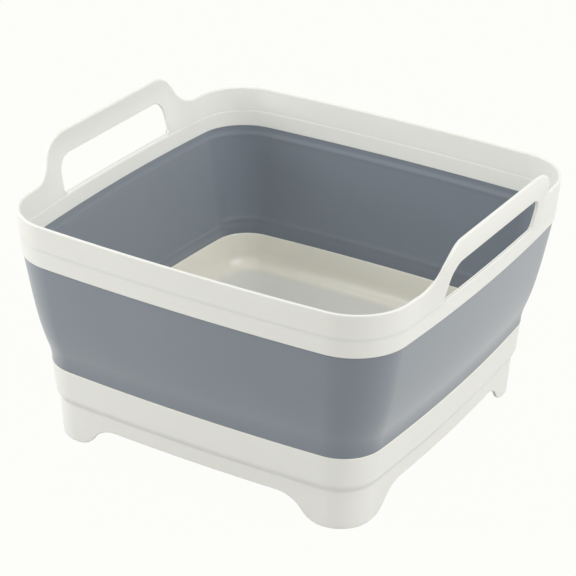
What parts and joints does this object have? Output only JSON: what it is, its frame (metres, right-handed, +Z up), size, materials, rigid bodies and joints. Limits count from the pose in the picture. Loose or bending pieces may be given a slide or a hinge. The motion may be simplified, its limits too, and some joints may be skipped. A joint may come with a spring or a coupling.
{
  "type": "washing up bowl",
  "caption": "Square collapsible washing-up bowl: stiff white rim with loop handles, soft grey wall that folds down, and a footed white base with a drain plug.",
  "frame": {"origin": "on the table, midway between the four feet", "axes": "+Z up, +X towards one handle, -Y towards the front face"},
  "size_m": [0.3192, 0.3058, 0.203],
  "materials": {
    "white_polypropylene": "satin moulded",
    "grey_tpr": "matte moulded"
  },
  "bodies": {
    "base": {"base_tray": "white_polypropylene"},
    "rim": {"rim_frame": "white_polypropylene"},
    "wall": {"folding_wall": "grey_tpr"},
    "plug": {"drain_plug": "grey_tpr"}
  },
  "joints": [
    {"name": "rim_collapse", "type": "slide", "parent": "base", "child": "rim", "axis": [0, 0, 1], "range_m": [-0.12, 0], "deforming": ["folding_wall"]},
    {"name": "wall_fold", "type": "slide", "parent": "base", "child": "wall", "axis": [0, 0, 1], "range_m": [-0.048, 0]},
    {"name": "plug_lift", "type": "slide", "parent": "base", "child": "plug", "axis": [0, 0, 1], "range_m": [0, 0.2]}
  ],
  "couplings": [
    {"joint": "wall_fold", "follows": "rim_collapse", "ratio": 0.4}
  ]
}
